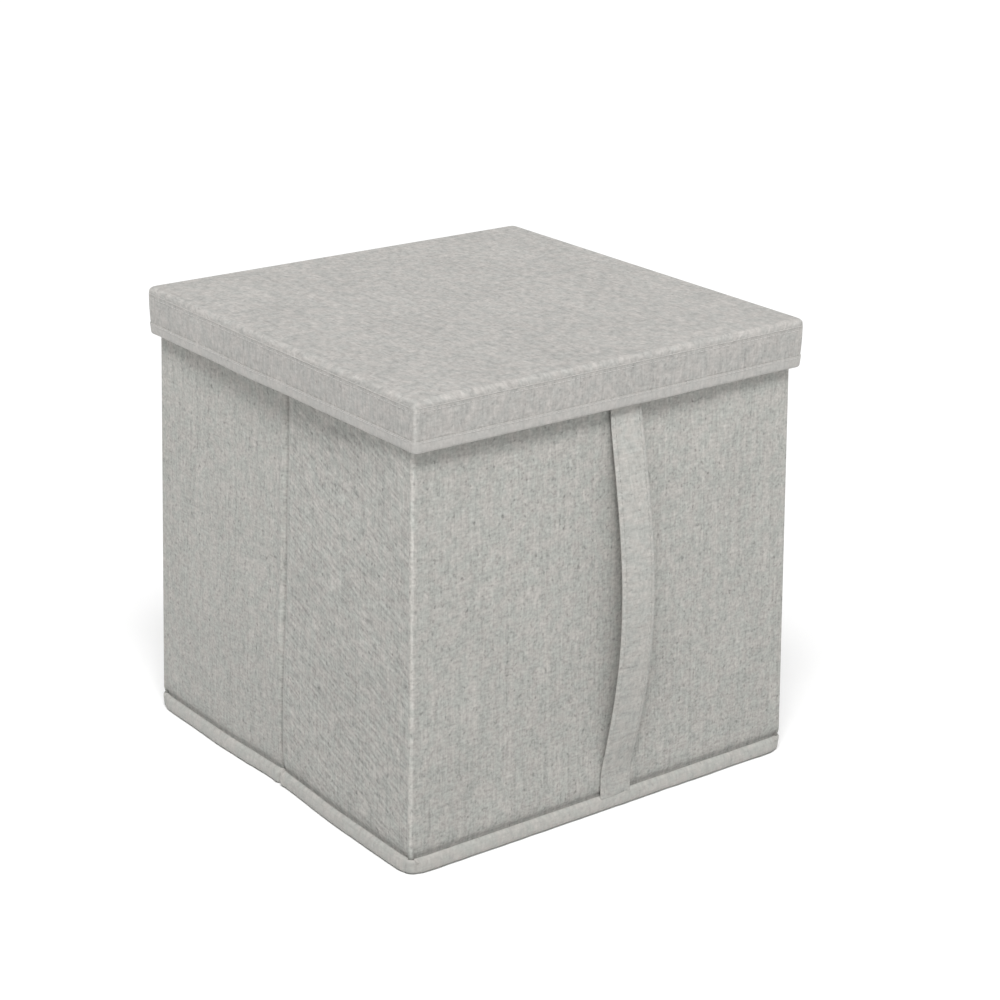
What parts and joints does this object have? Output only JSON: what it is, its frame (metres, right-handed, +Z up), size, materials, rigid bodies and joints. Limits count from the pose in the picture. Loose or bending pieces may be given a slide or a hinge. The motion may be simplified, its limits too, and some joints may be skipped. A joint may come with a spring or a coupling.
{
  "type": "fabric storage bin",
  "caption": "Cube storage bin of boards and linen-look cloth, with a lift-off lid, a carry strap and sides that fold in flat.",
  "frame": {"origin": "middle of the base, on the surface that the bin stands on", "axes": "+Z up through the lid, -Y out of the wall that carries the strap, +X to the right of that wall"},
  "size_m": [0.31, 0.321, 0.31],
  "materials": {
    "wall_cloth": "grey melange weave",
    "lid_cloth": "grey melange weave",
    "binding_cloth": "folded binding",
    "strap_cloth": "folded strip",
    "lining_cloth": "nonwoven lining",
    "board": "grey board"
  },
  "bodies": {
    "front_wall": {"front_cover": "wall_cloth", "front_board": "board", "front_lining": "lining_cloth", "front_rim_hem": "wall_cloth", "front_base_tape": "binding_cloth", "base_cloth": "lining_cloth", "strap_top_tab": "strap_cloth", "strap_foot_tab": "strap_cloth"},
    "left_front_wall": {"left_front_cover": "wall_cloth", "left_front_board": "board", "left_front_lining": "lining_cloth", "left_front_rim_hem": "wall_cloth", "left_front_base_tape": "binding_cloth"},
    "left_rear_wall": {"left_rear_cover": "wall_cloth", "left_rear_board": "board", "left_rear_lining": "lining_cloth", "left_rear_rim_hem": "wall_cloth", "left_rear_base_tape": "binding_cloth"},
    "back_wall": {"back_cover": "wall_cloth", "back_board": "board", "back_lining": "lining_cloth", "back_rim_hem": "wall_cloth", "back_base_tape": "binding_cloth"},
    "right_front_wall": {"right_front_cover": "wall_cloth", "right_front_board": "board", "right_front_lining": "lining_cloth", "right_front_rim_hem": "wall_cloth", "right_front_base_tape": "binding_cloth"},
    "right_rear_wall": {"right_rear_cover": "wall_cloth", "right_rear_board": "board", "right_rear_lining": "lining_cloth", "right_rear_rim_hem": "wall_cloth", "right_rear_base_tape": "binding_cloth"},
    "base_insert": {"insert_board": "board", "insert_top_cloth": "lining_cloth", "insert_under_cloth": "lining_cloth"},
    "strap": {"strap_grip": "strap_cloth", "strap_upper": "strap_cloth", "strap_lower": "strap_cloth"},
    "lid": {"lid_top_cover": "lid_cloth", "lid_top_board": "board", "lid_top_lining": "lining_cloth", "lid_front_cover": "lid_cloth", "lid_front_board": "board", "lid_front_lining": "lining_cloth", "lid_front_hem": "lid_cloth", "lid_back_cover": "lid_cloth", "lid_back_board": "board", "lid_back_lining": "lining_cloth", "lid_back_hem": "lid_cloth", "lid_left_cover": "lid_cloth", "lid_left_board": "board", "lid_left_lining": "lining_cloth", "lid_left_hem": "lid_cloth", "lid_right_cover": "lid_cloth", "lid_right_board": "board", "lid_right_lining": "lining_cloth", "lid_right_hem": "lid_cloth"}
  },
  "joints": [
    {"name": "lid_lift", "type": "slide", "parent": "front_wall", "child": "lid", "axis": [0, 0, 1], "range_m": [0, 0.35]},
    {"name": "insert_lift", "type": "slide", "parent": "front_wall", "child": "base_insert", "axis": [0, 0, 1], "range_m": [0, 0.28]},
    {"name": "strap_swing", "type": "hinge", "parent": "front_wall", "child": "strap", "pos_m": [0.009, -0.15, 0.145], "axis": [0, 0, 1], "range_deg": [-34, 34], "deforming": ["strap_upper", "strap_lower"]},
    {"name": "fold", "type": "hinge", "parent": "front_wall", "child": "left_front_wall", "pos_m": [-0.146, -0.146, 0.15], "axis": [0, 0, -1], "range_deg": [0, 86], "deforming": ["base_cloth", "insert_board", "insert_top_cloth", "insert_under_cloth"]},
    {"name": "left_crease", "type": "hinge", "parent": "left_front_wall", "child": "left_rear_wall", "pos_m": [-0.1552, 0, 0.15], "axis": [0, 0, 1], "range_deg": [0, 172]},
    {"name": "left_rear_corner", "type": "hinge", "parent": "left_rear_wall", "child": "back_wall", "pos_m": [-0.146, 0.146, 0.15], "axis": [0, 0, -1], "range_deg": [0, 86]},
    {"name": "right_front_corner", "type": "hinge", "parent": "front_wall", "child": "right_front_wall", "pos_m": [0.146, -0.146, 0.15], "axis": [0, 0, 1], "range_deg": [0, 86]},
    {"name": "right_crease", "type": "hinge", "parent": "right_front_wall", "child": "right_rear_wall", "pos_m": [0.1552, 0, 0.15], "axis": [0, 0, -1], "range_deg": [0, 172]}
  ],
  "couplings": [
    {"joint": "left_crease", "follows": "fold", "ratio": 2},
    {"joint": "left_rear_corner", "follows": "fold", "ratio": 1},
    {"joint": "right_front_corner", "follows": "fold", "ratio": 1},
    {"joint": "right_crease", "follows": "fold", "ratio": 2}
  ]
}
